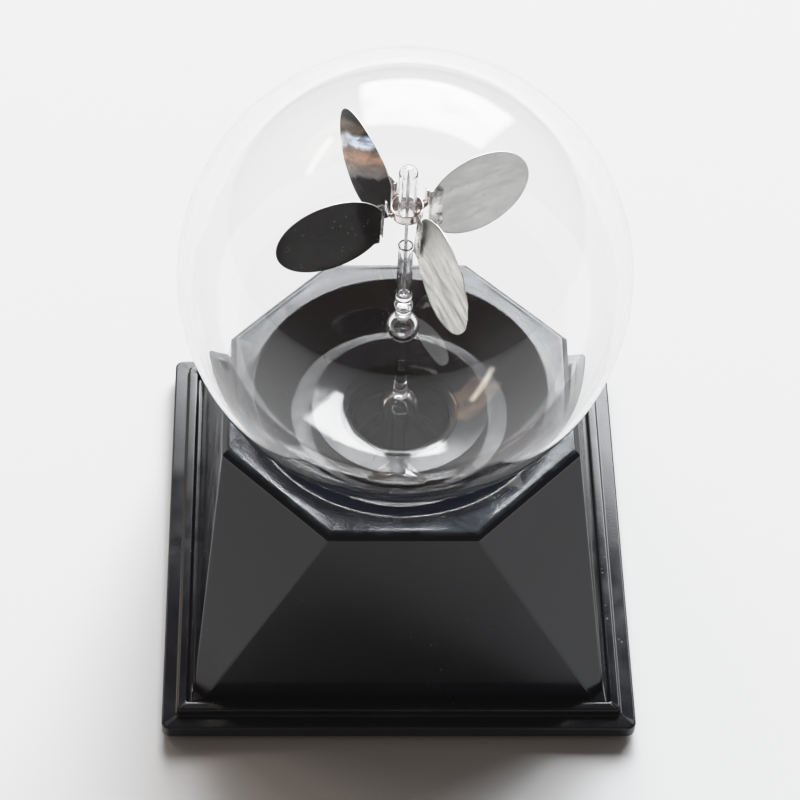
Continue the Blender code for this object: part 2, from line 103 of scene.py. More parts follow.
# Underside
OPENING_HALF = 0.0370
OPENING_CORNER = 0.0030
SCREW_HEAD = 0.0026
SCREW_SHANK = 0.0011
THREAD_TURNS = 7
THREAD_PITCH = 0.0009
HOLE_HEAD = 0.0029
HOLE_SHANK = 0.0014
HOLE_OVERRUN = 0.001  # of the hole's cutter past both faces of the cover
RECESS_LENGTH = 0.0024
RECESS_WIDTH = 0.00055
RECESS_DEPTH = 0.0008
RECESS_TURN = 0.35  # radians from one screw's recess to the next one's

# Stem and mill
ON_AXIS = 0.0001  # radius of a profile's first row, next to its point on the axis
FLARE_TUBE = 0.0036
FLARE_WALL = 0.0008
FLARE_CROWN = 0.0040  # height of the closed top above the bell
EXHAUST_BORE = 0.0010
BALL_HOLLOW = 0.76  # radius of the bubble blown in the ball, as a share of the ball's
BEAD_BULGE = 0.00055
TUBE_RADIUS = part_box("needle_tube")[1].x
TUBE_BORE = 0.00105
TUBE_FLOOR = 0.0019
CAP_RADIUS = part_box("glass_cap")[1].x
CAP_BORE = 0.00115
CAP_DOME = 0.0005
COLLAR_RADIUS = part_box("hub_collar")[1].x
COLLAR_SHEET = 0.00018
COLLAR_BEND = 0.0012
CUP_RADIUS = 0.0029
CUP_DENT = 0.035  # deepest squeeze of the cup's rim towards each arm, as a share of the radius
CUP_CRUMPLE = 0.00012
ARM_WIDTH = 0.0015
CLIP_INNER = COLLAR_RADIUS + GAP
CLIP_TIP = CLIP_INNER + 0.0024
CLIP_WEB = 0.00025
CLIP_SHEET = 0.00010
CLIP_HEIGHT = 0.0086
CLIP_RISE = 0.0005
CLIP_CRUMPLE = 0.00035
VANE_SHEET = 0.00012
CAD_VANE_SHEET = 0.0003
VANE_Z = 0.0980
VANE_ROOT = CLIP_INNER + CLIP_WEB + GAP
VANE_TIP = 0.0237
VANE_LENGTH_RADIUS = 0.0099
VANE_HEIGHT_RADIUS = 0.0091
VANE_BEND_START = 0.0072

# Each vane, as bent by hand: azimuth, lean about its own radial line, rise per unit of its length, the
# radius that it is curled to (None: flat), its wrinkles' depth, and whether its heel keeps a square corner
VANES = (
    (25.0, -1.5, 0.0, None, 0.00002, False),
    (125.0, 1.0, 0.13, 0.055, 0.00006, False),
    (198.5, -5.5, -0.03, None, 0.00001, True),
    (294.5, -4.5, -0.12, None, 0.00022, False),
)

LIGHT_DISTANCE = 3.5
FLOOR_HALF = 3.0
WHITE_LEVEL = 4.0  # brightness that shows as pure white
FILM_BASE = 0.0035  # how bright black shows
TONES = (  # brightness of the light, and how bright it shows
    (0.25, 0.25),
    (0.50, 0.50),
    (0.70, 0.68),
    (0.85, 0.78),
    (1.0, 0.84),
    (1.3, 0.90),
    (2.0, 0.95),
)

# Fineness of the meshes
SIDE_STEPS = 20
FILLET_STEPS = 4
DISH_STEPS = 48
TURN_STEPS = 192
GLOBE_STEPS = 110
STEM_STEPS = 96
SMALL_STEPS = 48


# Stage: camera, lights, floor

def add_camera():
    camera = bpy.data.objects.new("camera", bpy.data.cameras.new("camera"))
    bpy.context.scene.collection.objects.link(camera)
    camera.location = (-0.01598, -0.3201, 0.4488)
    camera.rotation_euler = (math.radians(38.58), 0, 0)
    camera.data.lens = 123.41
    camera.data.sensor_width = 36
    camera.data.shift_x = 0.107
    camera.data.clip_start = 0.01
    bpy.context.scene.camera = camera


def add_light(name, azimuth, elevation, distance, angles, radiance, colour):
    """A soft rectangular light. Azimuth runs from +Y towards +X; angles are the width and height seen."""
    data = bpy.data.lights.new(name, "AREA")
    data.shape = "RECTANGLE"
    data.size, data.size_y = (2 * distance * math.tan(math.radians(angle / 2)) for angle in angles)
    data.energy = radiance * math.pi * data.size * data.size_y
    data.color = colour
    soften(data)
    light = bpy.data.objects.new(name, data)
    bpy.context.scene.collection.objects.link(light)
    a, e = math.radians(azimuth), math.radians(elevation)
    away = Vector((math.sin(a) * math.cos(e), math.cos(a) * math.cos(e), math.sin(e)))
    light.location = Vector((0, 0, 0.05)) + away * distance
    light.rotation_euler = (-away).to_track_quat("-Z", "Y").to_euler()
    light.visible_camera = False


def soften(data):
    """Fades a light towards its edges and clouds it a little, like a window behind a thin curtain."""
    data.use_nodes = True
    nodes, links = data.node_tree.nodes, data.node_tree.links
    place = nodes.new("ShaderNodeNewGeometry").outputs["Parametric"]
    axes = nodes.new("ShaderNodeSeparateXYZ")
    links.new(place, axes.inputs[0])
    cloud = nodes.new("ShaderNodeTexNoise")
    cloud.inputs["Scale"].default_value = 3.0
    links.new(place, cloud.inputs["Vector"])
    fade = span_node(nodes, links, cloud.outputs[0], 0.15, 0.62)
    for axis in axes.outputs[:2]:
        for start, end in ((0.0, 0.10), (1.0, 0.90)):
            side = span_node(nodes, links, axis, start, end)
            fade = math_node(nodes, links, "MULTIPLY", fade, side)
    links.new(fade, nodes["Emission"].inputs["Strength"])


def add_world(room, glow, pale):
    """A dim warm room with a soft glow on the window's side, for light and gloss.

    The camera sees it as a pale backdrop, also through glass.
    """
    world = bpy.data.worlds.new("room")
    world.use_nodes = True
    bpy.context.scene.world = world
    nodes, links = world.node_tree.nodes, world.node_tree.links
    path = nodes.new("ShaderNodeLightPath").outputs
    straight = math_node(nodes, links, "MAXIMUM", path["Is Camera Ray"], path["Is Transmission Ray"])
    bounces = math_node(nodes, links, "ADD", path["Glossy Depth"], path["Diffuse Depth"])
    unbounced = math_node(nodes, links, "LESS_THAN", bounces, 0.5)
    share = math_node(nodes, links, "MULTIPLY", straight, unbounced)
    direction = nodes.new("ShaderNodeSeparateXYZ")
    links.new(nodes.new("ShaderNodeTexCoord").outputs["Generated"], direction.inputs[0])
    behind = span_node(nodes, links, direction.outputs[1], -0.25, 0.75)
    low = span_node(nodes, links, direction.outputs[2], 0.85, 0.55)
    both = math_node(nodes, links, "MULTIPLY", behind, low)
    lit = mix_node(nodes, links, both, room, glow)
    seen = mix_node(nodes, links, share, lit, pale)
    links.new(seen, nodes["Background"].inputs["Color"])


def math_node(nodes, links, operation, first, second):
    """Works out an operation on two values, each a number or a socket."""
    made = nodes.new("ShaderNodeMath")
    made.operation = operation
    for socket, value in ((made.inputs[0], first), (made.inputs[1], second)):
        if isinstance(value, float):
            socket.default_value = value
        else:
            links.new(value, socket)
    return made.outputs[0]


def span_node(nodes, links, value, start, end):
    """Maps start..end smoothly to 0..1."""
    made = nodes.new("ShaderNodeMapRange")
    made.interpolation_type = "SMOOTHSTEP"
    links.new(value, made.inputs["Value"])
    made.inputs["From Min"].default_value = start
    made.inputs["From Max"].default_value = end
    return made.outputs[0]


def mix_node(nodes, links, share, first, second):
    """Mixes two colours, each a tuple or a socket."""
    made = nodes.new("ShaderNodeMix")
    made.data_type = "RGBA"
    links.new(share, made.inputs["Factor"])
    for socket, colour in ((made.inputs[6], first), (made.inputs[7], second)):
        if isinstance(colour, tuple):
            socket.default_value = (*colour, 1)
        else:
            links.new(colour, socket)
    return made.outputs[2]


# Materials

class Look:
    """A Principled material, with helpers for the nodes that its pattern is made of."""

    def __init__(self, name, sockets):
        self.material = bpy.data.materials.new(name)
        self.material.use_nodes = True
        self.tree = self.material.node_tree
        self.shader = self.tree.nodes["Principled BSDF"]
        for socket, value in sockets.items():
            self.put(self.shader.inputs[socket], value)
        self.place = self.tree.nodes.new("ShaderNodeTexCoord").outputs["Object"]
        self.normal = None

    def put(self, socket, value):
        if isinstance(value, bpy.types.NodeSocket):
            self.tree.links.new(value, socket)
        elif isinstance(value, tuple) and len(value) == 3 and len(socket.default_value) == 4:
            socket.default_value = (*value, 1)
        else:
            socket.default_value = value

    def node(self, kind, inputs, **properties):
        made = self.tree.nodes.new(kind)
        for name, value in properties.items():
            setattr(made, name, value)
        for socket, value in inputs.items():
            self.put(made.inputs[socket], value)
        return made

    def stretched(self, scale):
        return self.node("ShaderNodeMapping", {"Vector": self.place, "Scale": scale}).outputs[0]

    def noise(self, scale, detail=3.0, distortion=0.0, stretch=None):
        place = self.stretched(stretch) if stretch else self.place
        inputs = {"Vector": place, "Scale": scale, "Detail": detail, "Distortion": distortion}
        return self.node("ShaderNodeTexNoise", inputs).outputs[0]

    def cells(self, scale):
        inputs = {"Vector": self.place, "Scale": scale}
        return self.node("ShaderNodeTexVoronoi", inputs).outputs["Distance"]

    def span(self, value, start, end, low, high):
        """Maps start..end to low..high, and holds the ends."""
        inputs = {"Value": value, "From Min": start, "From Max": end, "To Min": low, "To Max": high}
        return self.node("ShaderNodeMapRange", inputs).outputs[0]

    def math(self, operation, a, b):
        return self.node("ShaderNodeMath", {0: a, 1: b}, operation=operation).outputs[0]

    def blend(self, share, a, b):
        made = self.node("ShaderNodeMix", {0: share, 6: a, 7: b}, data_type="RGBA")
        return made.outputs[2]

    def bump(self, height, distance, strength=1.0):
        """Adds a layer of bump under the layers already there."""
        inputs = {"Height": height, "Distance": distance, "Strength": strength}
        if self.normal:
            inputs["Normal"] = self.normal
        self.normal = self.node("ShaderNodeBump", inputs).outputs[0]
        self.put(self.shader.inputs["Normal"], self.normal)

    def set(self, socket, value):
        self.put(self.shader.inputs[socket], value)

    def dust(self, scale, size, share):
        """Sparse round specks: 1 inside a speck and 0 outside."""
        near = self.span(self.cells(scale), size * 0.6, size, 1.0, 0.0)
        kept = self.span(self.noise(scale * 0.13), share, share + 0.04, 0.0, 1.0)
        return self.math("MULTIPLY", near, kept)

    def worn_edges(self, start, end):
        """1 on convex edges, broken up by noise."""
        pointed = self.node("ShaderNodeNewGeometry", {}).outputs["Pointiness"]
        return self.math("MULTIPLY", self.span(pointed, start, end, 0.0, 1.0), self.noise(420.0))


def plastic_look(name, shades, gloss, painted_sheen_above=None):
    """Moulded plastic: faint clouding, specks of dust, rubbed edges and a fine orange-peel skin.

    Above a given height, and outside the deck's crease, it has a patchy pale bluish painted sheen: a painted
    reflection of the window's light on the deck's top.
    """
    look = Look(name, {"IOR": 1.46})
    cloud = look.noise(45.0, 4.0)
    dust = look.dust(520.0, 0.13, 0.60)
    worn = look.worn_edges(0.53, 0.60)
    colour = look.blend(look.span(cloud, 0.35, 0.65, 0.0, 1.0), *shades)
    colour = look.blend(look.math("MULTIPLY", worn, 0.5), colour, (0.055, 0.045, 0.040))
    # Painted sheen: a pale bluish colour on the deck's top stands in for the window's reflection there.
    if painted_sheen_above:
        height = look.node("ShaderNodeSeparateXYZ", {0: look.place}).outputs[2]
        painted_sheen = look.span(look.noise(170.0, 6.0, 0.6), 0.42, 0.66, 0.15, 1.0)
        high = look.span(height, painted_sheen_above, painted_sheen_above + 0.0003, 0.0, 0.55)
        flat = look.stretched((1, 1, 0))
        out = look.node("ShaderNodeVectorMath", {0: flat}, operation="LENGTH").outputs["Value"]
        outer = look.span(out, DECK_CREASE - 0.0009, DECK_CREASE, 0.05, 1.0)
        painted_sheen = look.math("MULTIPLY", look.math("MULTIPLY", painted_sheen, high), outer)
        colour = look.blend(painted_sheen, colour, (0.105, 0.130, 0.155))
    look.set("Base Color", look.blend(look.math("MULTIPLY", dust, 0.35), colour, (0.16, 0.15, 0.15)))
    rough = look.span(look.noise(130.0, 5.0, 0.4), 0.30, 0.72, *gloss)
    rough = look.math("ADD", rough, look.math("MULTIPLY", worn, 0.18))
    look.set("Roughness", look.math("ADD", rough, look.math("MULTIPLY", dust, 0.3)))
    look.bump(look.noise(2600.0, 2.0), 0.000012, 0.35)
    look.bump(look.noise(38.0, 2.0), 0.00012, 0.25)
    return look.material


def rubber_look():
    look = Look("rubber", {"Specular IOR Level": 0.3})
    cloud = look.noise(300.0, 4.0)
    look.set("Base Color", look.blend(cloud, (0.014, 0.014, 0.014), (0.034, 0.032, 0.031)))
    look.set("Roughness", look.span(cloud, 0.3, 0.7, 0.65, 0.9))
    look.bump(look.noise(1800.0, 3.0), 0.00004, 0.6)
    return look.material


def metal_look(name, shades, gloss, grain, draw, depth):
    """Bright metal: clouded between two shades, with upright drawn grain and small dents."""
    look = Look(name, {"Metallic": 1.0})
    cloud = look.noise(grain * 0.2, 4.0)
    streaks = look.noise(grain, 4.0, 0.2, (1, 1, draw))
    look.set("Base Color", look.blend(look.span(cloud, 0.35, 0.65, 0.0, 1.0), *shades))
    look.set("Roughness", look.span(streaks, 0.3, 0.7, *gloss))
    look.bump(streaks, depth, 0.4)
    look.bump(look.noise(grain * 0.35, 2.0), depth * 3, 0.5)
    return look.material


def glass_look(name, tint, clarity, waviness, ior):
    """Blown glass with a faint waviness. Lamps shine through it, so that they light what is inside."""
    look = Look(name, {"Base Color": tint, "IOR": ior, "Transmission Weight": 1.0})
    look.set("Roughness", look.span(look.noise(90.0, 5.0), 0.45, 0.75, 0.0, 0.012))
    look.bump(look.noise(waviness, 1.0), 0.00004, 0.10)
    passing = look.node("ShaderNodeBsdfTransparent", {"Color": clarity})
    path = look.node("ShaderNodeLightPath", {})
    mix = look.node("ShaderNodeMixShader", {0: path.outputs["Is Shadow Ray"]})
    look.put(mix.inputs[1], look.shader.outputs[0])
    look.put(mix.inputs[2], passing.outputs[0])
    look.put(look.tree.nodes["Material Output"].inputs["Surface"], mix.outputs[0])
    return look.material


def foil_look(name, shades, gloss, streak, wrinkle):
    """The bare side of a vane: matt rolled foil with streaks along it, specks and creases."""
    look = Look(name, {"Metallic": 1.0})
    cloud = look.noise(260.0, 5.0)
    streaks = look.noise(streak, 4.0, 0.5, (0.22, 1.0, 1.0))
    dust = look.dust(1500.0, 0.22, 0.52)
    colour = look.blend(look.span(cloud, 0.3, 0.7, 0.0, 1.0), *shades)
    colour = look.blend(look.span(streaks, 0.52, 0.72, 0.0, 0.45), colour, (0.98, 0.98, 0.96))
    look.set("Base Color", look.blend(look.math("MULTIPLY", dust, 0.5), colour, (0.25, 0.25, 0.24)))
    look.set("Roughness", look.span(streaks, 0.3, 0.7, *gloss))
    look.bump(streaks, wrinkle, 0.5)
    look.bump(look.noise(2400.0, 3.0), 0.000012, 0.4)
    return look.material


def black_side_look():
    """The blackened side of a vane: a glossy dark coat with specks and fine scratches."""
    look = Look("vane_black", {"IOR": 1.22})
    cloud = look.noise(300.0, 4.0)
    scratches = look.span(look.noise(1100.0, 3.0, 0.3, (0.10, 1.0, 1.0)), 0.62, 0.74, 0.0, 1.0)
    dust = look.dust(1300.0, 0.20, 0.55)
    shade = look.span(cloud, 0.3, 0.7, 0.0, 1.0)
    colour = look.blend(shade, (0.008, 0.009, 0.012), (0.020, 0.021, 0.026))
    colour = look.blend(look.math("MULTIPLY", scratches, 0.12), colour, (0.10, 0.10, 0.11))
    look.set("Base Color", look.blend(dust, colour, (0.34, 0.33, 0.32)))
    look.set("Roughness", look.span(cloud, 0.3, 0.7, 0.10, 0.20))
    look.bump(look.noise(150.0, 2.0), 0.00002, 0.3)
    return look.material


def reflection_painted_side_look(start, end):
    """A blackened side with painted reflection bands on a slant across it, from start near the root to end:
    brown and orange ones of the room and its shade, and a pale blue one of the window.
    """
    look = Look("vane_black_painted_reflection", {"IOR": 1.08})
    place = look.node("ShaderNodeSeparateXYZ", {0: look.place}).outputs
    slant = math.radians(50)
    along = look.math("MULTIPLY", place[0], math.cos(slant))
    along = look.math("ADD", along, look.math("MULTIPLY", place[2], math.sin(slant)))
    across = look.math("MULTIPLY", place[0], math.sin(slant))
    across = look.math("SUBTRACT", across, look.math("MULTIPLY", place[2], math.cos(slant)))
    wander = look.math("MULTIPLY", look.math("SUBTRACT", look.noise(260.0, 3.0), 0.5), 0.0022)
    level = look.span(look.math("ADD", along, wander), start, end, 0.0, 1.0)
    # Painted reflection: these colour bands stand in for the floor, the warm shade and the window seen in
    # the vane.
    reflection_bands = look.node("ShaderNodeValToRGB", {0: level})
    reflection_stops = (
        (0.37, (0.012, 0.011, 0.012)),
        (0.40, (0.12, 0.10, 0.088)),
        (0.50, (0.20, 0.14, 0.11)),
        (0.60, (0.46, 0.24, 0.13)),
        (0.69, (0.22, 0.12, 0.08)),
        (0.73, (0.80, 0.88, 0.98)),
        (0.82, (0.52, 0.66, 0.86)),
        (0.87, (0.010, 0.010, 0.013)),
    )
    ramp = reflection_bands.color_ramp
    ramp.elements[0].color = (*reflection_stops[0][1], 1)
    ramp.elements[1].color = (*reflection_stops[-1][1], 1)
    for position, colour in reflection_stops:
        ramp.elements.new(position).color = (*colour, 1)
    drawn = look.node("ShaderNodeCombineXYZ", {0: along, 1: look.math("MULTIPLY", across, 0.2)})
    inputs = {"Vector": drawn.outputs[0], "Scale": 800.0, "Detail": 4.0, "Distortion": 0.6}
    grain = look.node("ShaderNodeTexNoise", inputs).outputs[0]
    streaks = look.span(grain, 0.36, 0.58, 0.35, 1.0)
    look.set("Base Color", look.blend(streaks, (0.012, 0.011, 0.012), reflection_bands.outputs[0]))
    begun = look.span(level, 0.36, 0.40, 0.0, 1.0)
    look.set("Metallic", look.math("MULTIPLY", begun, look.span(level, 0.83, 0.87, 1.0, 0.0)))
    look.set("Roughness", look.span(streaks, 0.25, 1.0, 0.10, 0.22))
    look.bump(look.noise(150.0, 2.0), 0.00002, 0.3)
    return look.material


def floor_look():
    look = Look("paper", {"Specular IOR Level": 0.15})
    cloud = look.noise(5.0, 4.0)
    look.set("Base Color", look.blend(cloud, (0.875, 0.880, 0.885), (0.905, 0.910, 0.915)))
    look.set("Roughness", look.span(look.noise(300.0), 0.3, 0.7, 0.75, 0.9))
    look.bump(look.noise(700.0, 3.0), 0.00003, 0.3)
    return look.material


# Mesh building

def add_piece(name, bm, looks, body, nodes, place=None):
    """Makes an object of a bmesh, in place of CAD nodes, riding on a body."""
    face_outwards(bm)
    mesh = bpy.data.meshes.new(name)
    bm.to_mesh(mesh)
    bm.free()
    mesh.shade_smooth()
    for look in looks:
        mesh.materials.append(look)
    obj = bpy.data.objects.new(name, mesh)
    bpy.context.scene.collection.objects.link(obj)
    if place:
        obj.matrix_world = place
    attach(obj, body)
    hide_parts(*nodes)
    return obj


def face_outwards(bm):
    """Turns a closed shape's faces outwards, which glass needs to bend light the right way."""
    bmesh.ops.recalc_face_normals(bm, faces=bm.faces)
    if bm.calc_volume(signed=True) < 0:
        bmesh.ops.reverse_faces(bm, faces=bm.faces)


def sharpen(obj, degrees):
    obj.data.set_sharp_from_angle(angle=math.radians(degrees))


def keep_flats_flat(obj):
    """Weights each vertex normal by face area, so that a fillet doesn't shade the flat beside it."""
    obj.modifiers.new("flats", "WEIGHTED_NORMAL").keep_sharp = True


def arc(centre, radius, start, end, steps):
    """Points (r, z) on a circular arc, both ends included. Angles are in degrees from +r towards +z."""
    points = []
    for step in range(steps + 1):
        angle = math.radians(start + (end - start) * step / steps)
        points.append((centre[0] + radius * math.cos(angle), centre[1] + radius * math.sin(angle)))
    return points


def rounded(corners, radius, steps=4):
    """An open path of (r, z) corners, with each inner corner rounded."""
    points = [Vector(corners[0])]
    for before, corner, after in zip(corners, corners[1:], corners[2:]):
        corner = Vector(corner)
        back, on = Vector(before) - corner, Vector(after) - corner
        reach = min(radius, back.length * 0.45, on.length * 0.45)
        start, end = corner + back.normalized() * reach, corner + on.normalized() * reach
        for step in range(steps + 1):
            share = step / steps
            points.append(start.lerp(corner, share).lerp(corner.lerp(end, share), share))
    points.append(Vector(corners[-1]))
    return [(p.x, p.y) for p in points]


def bridge(bm, first, second):
    """Joins two closed loops of vertices with quads."""
    count = len(first)
    for i in range(count):
        j = (i + 1) % count
        bm.faces.new((first[i], first[j], second[j], second[i]))


def turned(profile, steps=SMALL_STEPS):
    """A solid of revolution about Z, closed on the axis where the profile starts and ends there."""
    bm = bmesh.new()
    on_axis = profile[0][0] == 0 and profile[-1][0] == 0
    rows = profile[1:-1] if on_axis else profile
    angles = [math.tau * k / steps for k in range(steps)]
    loops = [[bm.verts.new((r * math.cos(a), r * math.sin(a), z)) for a in angles] for r, z in rows]
    for first, second in zip(loops, loops[1:]):
        bridge(bm, first, second)
    if not on_axis:
        bridge(bm, loops[-1], loops[0])
        return bm
    for (_, z), loop in ((profile[0], loops[0]), (profile[-1], loops[-1])):
        pole = bm.verts.new((0, 0, z))
        for i in range(steps):
            bm.faces.new((pole, loop[i], loop[(i + 1) % steps]))
    return bm


def outline(half, cut, fillet):
    """Eight sides, the diagonal ones cut off the corners of a square, with a fillet at each corner."""
    flat = (half, (2 * half - cut) / math.sqrt(2))
    cosine = math.cos(math.pi / 4)
    points = []
    for side in range(8):
        near, far = flat[side % 2], flat[(side + 1) % 2]
        end = (far - near * cosine) / cosine - fillet * math.tan(math.pi / 8)
        turn = Matrix.Rotation(side * math.pi / 4, 2)
        widest = math.atan2(end, near)
        for step in range(SIDE_STEPS + 1):
            along = near * math.tan(widest * (2 * step / SIDE_STEPS - 1))
            points.append(turn @ Vector((near, along)))
        for step in range(1, FILLET_STEPS):
            angle = step / FILLET_STEPS * math.pi / 4
            corner = Vector((near - fillet + fillet * math.cos(angle), end + fillet * math.sin(angle)))
            points.append(turn @ corner)
    return points


def square(half, corner):
    """A square with round corners, as an outline of eight sides."""
    return outline(half, corner * OCTAGON_CUT * 1.04, corner * 0.97)


def octagon(half, fillet):
    return outline(half, half * OCTAGON_CUT, fillet)


def circle(radius):
    """A circle whose points lie at the azimuths of the deck's own outline."""
    return [p.normalized() * radius for p in octagon(DECK_HALF, 0.0005)]


def stacked(rows):
    """A ring-shaped solid from (outline, z) rows, in order round the section."""
    bm = bmesh.new()
    loops = [[bm.verts.new((p.x, p.y, z)) for p in points] for points, z in rows]
    for k, loop in enumerate(loops):
        bridge(bm, loop, loops[(k + 1) % len(loops)])
    return bm


# Pedestal

def sphere_z(centre_z, radius, at):
    """Height of the lower half of a sphere centred on the axis, at a distance from the axis."""
    return centre_z - math.sqrt(radius**2 - at**2)


def plinth_rows():
    """Up the plinth's side, over its top, and over the rounded moulding to the frustum's foot."""
    side = rounded([
        (PLINTH_HALF - 0.0020, RIM_Z),
        (PLINTH_HALF, RIM_Z),
        (PLINTH_HALF, PLINTH_TOP_Z),
        (MOULDING_HALF + 0.0004, PLINTH_TOP_Z),
    ], PLINTH_EDGE)
    moulding = rounded([
        (MOULDING_HALF + 0.0003, PLINTH_TOP_Z),
        (MOULDING_HALF, PLINTH_TOP_Z + 0.0001),
        (MOULDING_HALF, MOULDING_TOP_Z),
        (MOULDING_HALF - MOULDING_WIDTH, MOULDING_TOP_Z),
        (MOULDING_HALF - MOULDING_WIDTH, FRUSTUM_Z - 0.0004),
        (FRUSTUM_HALF + 0.0002, FRUSTUM_Z - 0.0004),
    ], MOULDING_EDGE)
    rows = []
    for half, z in side + moulding:
        rows.append((square(half, PLINTH_CORNER - (PLINTH_HALF - half) * 0.25), z))
    return rows


def frustum_rows():
    """The frustum's faces run straight from a nearly square foot to the octagonal lip."""
    rows = []
    steps = 8
    for step in range(steps + 1):
        share = step / steps
        half = FRUSTUM_HALF + (LIP_HALF - FRUSTUM_HALF) * share
        cut = FRUSTUM_CUT + (LIP_HALF * OCTAGON_CUT - FRUSTUM_CUT) * share
        rows.append((outline(half, cut, FRUSTUM_FILLET), FRUSTUM_Z + (LIP_Z - FRUSTUM_Z) * share))
    lip = rounded([
        (LIP_HALF - 0.0001, LIP_Z),
        (LIP_HALF, LIP_Z + 0.0002),
        (DECK_HALF, DECK_Z),
        (DECK_HALF - 0.0006, DECK_Z),
    ], 0.0003)
    return rows + [(octagon(half, 0.0006), z) for half, z in lip[1:]]


def seat_rows():
    """From the deck's crease down the dish, over the floor and the sloping rest, into the socket."""
    edge = rounded([
        (DISH_EDGE + DISH_LIP, DECK_Z),
        (DISH_EDGE, DECK_Z),
        (DISH_EDGE - 0.0005, DECK_Z - DISH_LIP),
    ], 0.0004)
    outer = DISH_EDGE - DISH_LIP
    dish = []
    for step in range(DISH_STEPS + 1):
        r = outer + (DISH_END - outer) * step / DISH_STEPS
        ridge = max(0.0, 1 - ((r - RING_RADIUS) / RING_HALF_WIDTH) ** 2)
        dish.append((r, sphere_z(DISH_CENTRE_Z, DISH_RADIUS, r) + RING_HEIGHT * ridge))
    rest_z = sphere_z(BULB_Z, BULB_RADIUS + GAP, REST_INNER)
    foot = rounded([dish[-2], dish[-1], (REST_OUTER + 0.0012, FLOOR_Z + FLOOR_RISE)], 0.0001, 2)
    floor = rounded([
        (REST_OUTER + 0.0010, FLOOR_Z + FLOOR_RISE),
        (REST_OUTER + 0.0003, FLOOR_Z),
        (REST_OUTER, FLOOR_Z + 0.0003),
        (REST_OUTER, rest_z + (REST_OUTER - REST_INNER) * math.tan(REST_SLOPE)),
        (REST_INNER, rest_z),
        (REST_INNER, LEDGE_Z),
        (LEDGE_INNER, LEDGE_Z),
        (LEDGE_INNER, SOCKET_END_Z),
        (SOCKET_OUTER, SOCKET_END_Z),
        (SOCKET_OUTER, FLOOR_Z - WALL),
    ], 0.0003, 3)
    crease = [(DECK_CREASE, DECK_Z - CREASE_DEPTH)]
    return [(circle(r), z) for r, z in crease + edge + dish[:-1] + foot[1:] + floor]


def inside_rows():
    """The hidden hollow: under the seat, down the inside of the frustum, to the opening at the bottom."""
    below = DISH_RADIUS + WALL
    inner_top = LIP_HALF - WALL + 0.0002
    rows = [(circle(r), sphere_z(DISH_CENTRE_Z, below, r)) for r in (0.0215, 0.0250, 0.0290)]
    rows.append((octagon(inner_top, 0.0005), LIP_Z - 0.0018))
    rows.append((square(OPENING_HALF - GAP, OPENING_CORNER / 2), FRUSTUM_Z))
    return rows + [(square(OPENING_HALF, OPENING_CORNER), z) for z in (PLINTH_TOP_Z - 0.0004, RIM_Z)]


def sink(bm):
    """Lets the deck's crease sag a little along the two front diagonals, as thick mouldings do."""
    for vert in bm.verts:
        r = vert.co.xy.length
        if vert.co.z > DECK_Z - 0.0001 and abs(r - DECK_CREASE) < 0.0002:
            azimuth = math.atan2(vert.co.y, vert.co.x)
            front = max(0.0, -math.sin(azimuth))
            vert.co.z -= DECK_SAG * front * (0.5 - 0.5 * math.cos(4 * azimuth))


def add_pedestal(plastic):
    bm = stacked(plinth_rows() + frustum_rows() + seat_rows() + inside_rows())
    sink(bm)
    shell = add_piece("pedestal", bm, [plastic], "base", ["pedestal_shell"])
    sharpen(shell, 50)
    keep_flats_flat(shell)


def add_bottom_cover(plastic):
    lo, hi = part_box("bottom_cover")
    rim = rounded([
        (hi.x - 0.0010, hi.z),
        (hi.x, hi.z),
        (hi.x, lo.z),
        (hi.x - 0.0010, lo.z),
    ], 0.0003)
    bm = bmesh.new()
    loops = []
    for half, z in rim:
        loops.append([bm.verts.new((p.x, p.y, z)) for p in square(half, OPENING_CORNER)])
    for first, second in zip(loops, loops[1:]):
        bridge(bm, first, second)
    bm.faces.new(loops[0])
    bm.faces.new(loops[-1])
    plate = add_piece("cover_plate", bm, [plastic], "base", ["bottom_cover"])
    holes = bmesh.new()
    for number in range(1, 5):
        hole = turned([
            (0, hi.z + HOLE_OVERRUN),
            (HOLE_SHANK, hi.z + HOLE_OVERRUN),
            (HOLE_SHANK, lo.z + 0.0017),
            (HOLE_HEAD, lo.z + 0.0002),
            (HOLE_HEAD, lo.z - HOLE_OVERRUN),
            (0, lo.z - HOLE_OVERRUN),
        ])
        append(holes, hole, spot_of(f"cover_screw_{number}"))
    cut(plate, holes)
    sharpen(plate, 40)
    keep_flats_flat(plate)


def append(whole, part, place):
    """Adds a bmesh to another one, at a place, and frees it."""
    part.transform(place)
    mesh = bpy.data.meshes.new("part")
    face_outwards(part)
    part.to_mesh(mesh)
    part.free()
    whole.from_mesh(mesh)
    bpy.data.meshes.remove(mesh)


def cut(obj, bm):
    """Cuts a bmesh, whose parts may overlap, out of an object, and keeps the result as its mesh."""
    mesh = bpy.data.meshes.new("cutter")
    bm.to_mesh(mesh)
    bm.free()
    cutter = bpy.data.objects.new("cutter", mesh)
    bpy.context.scene.collection.objects.link(cutter)
    step = obj.modifiers.new("cut", "BOOLEAN")
    step.operation = "DIFFERENCE"
    step.solver = "EXACT"
    step.use_self = True
    step.object = cutter
    made = bpy.data.meshes.new_from_object(obj.evaluated_get(bpy.context.evaluated_depsgraph_get()))
    obj.modifiers.clear()
    obj.data = made
    bpy.data.objects.remove(cutter)


def spot_of(node):
    """The matrix that moves a piece, made round the Z axis, to the middle of a node."""
    lo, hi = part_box(node)
    middle = (lo + hi) / 2
    return Matrix.Translation((middle.x, middle.y, 0))


def thread_profile(start):
    """A ridge for each turn of the thread, upwards from a height."""
    root = SCREW_SHANK * 0.72
    ridges = []
    for turn in range(THREAD_TURNS):
        z = start + turn * THREAD_PITCH
        ridges += [(root, z), (SCREW_SHANK, z + THREAD_PITCH * 0.35), (root, z + THREAD_PITCH * 0.7)]
    return ridges


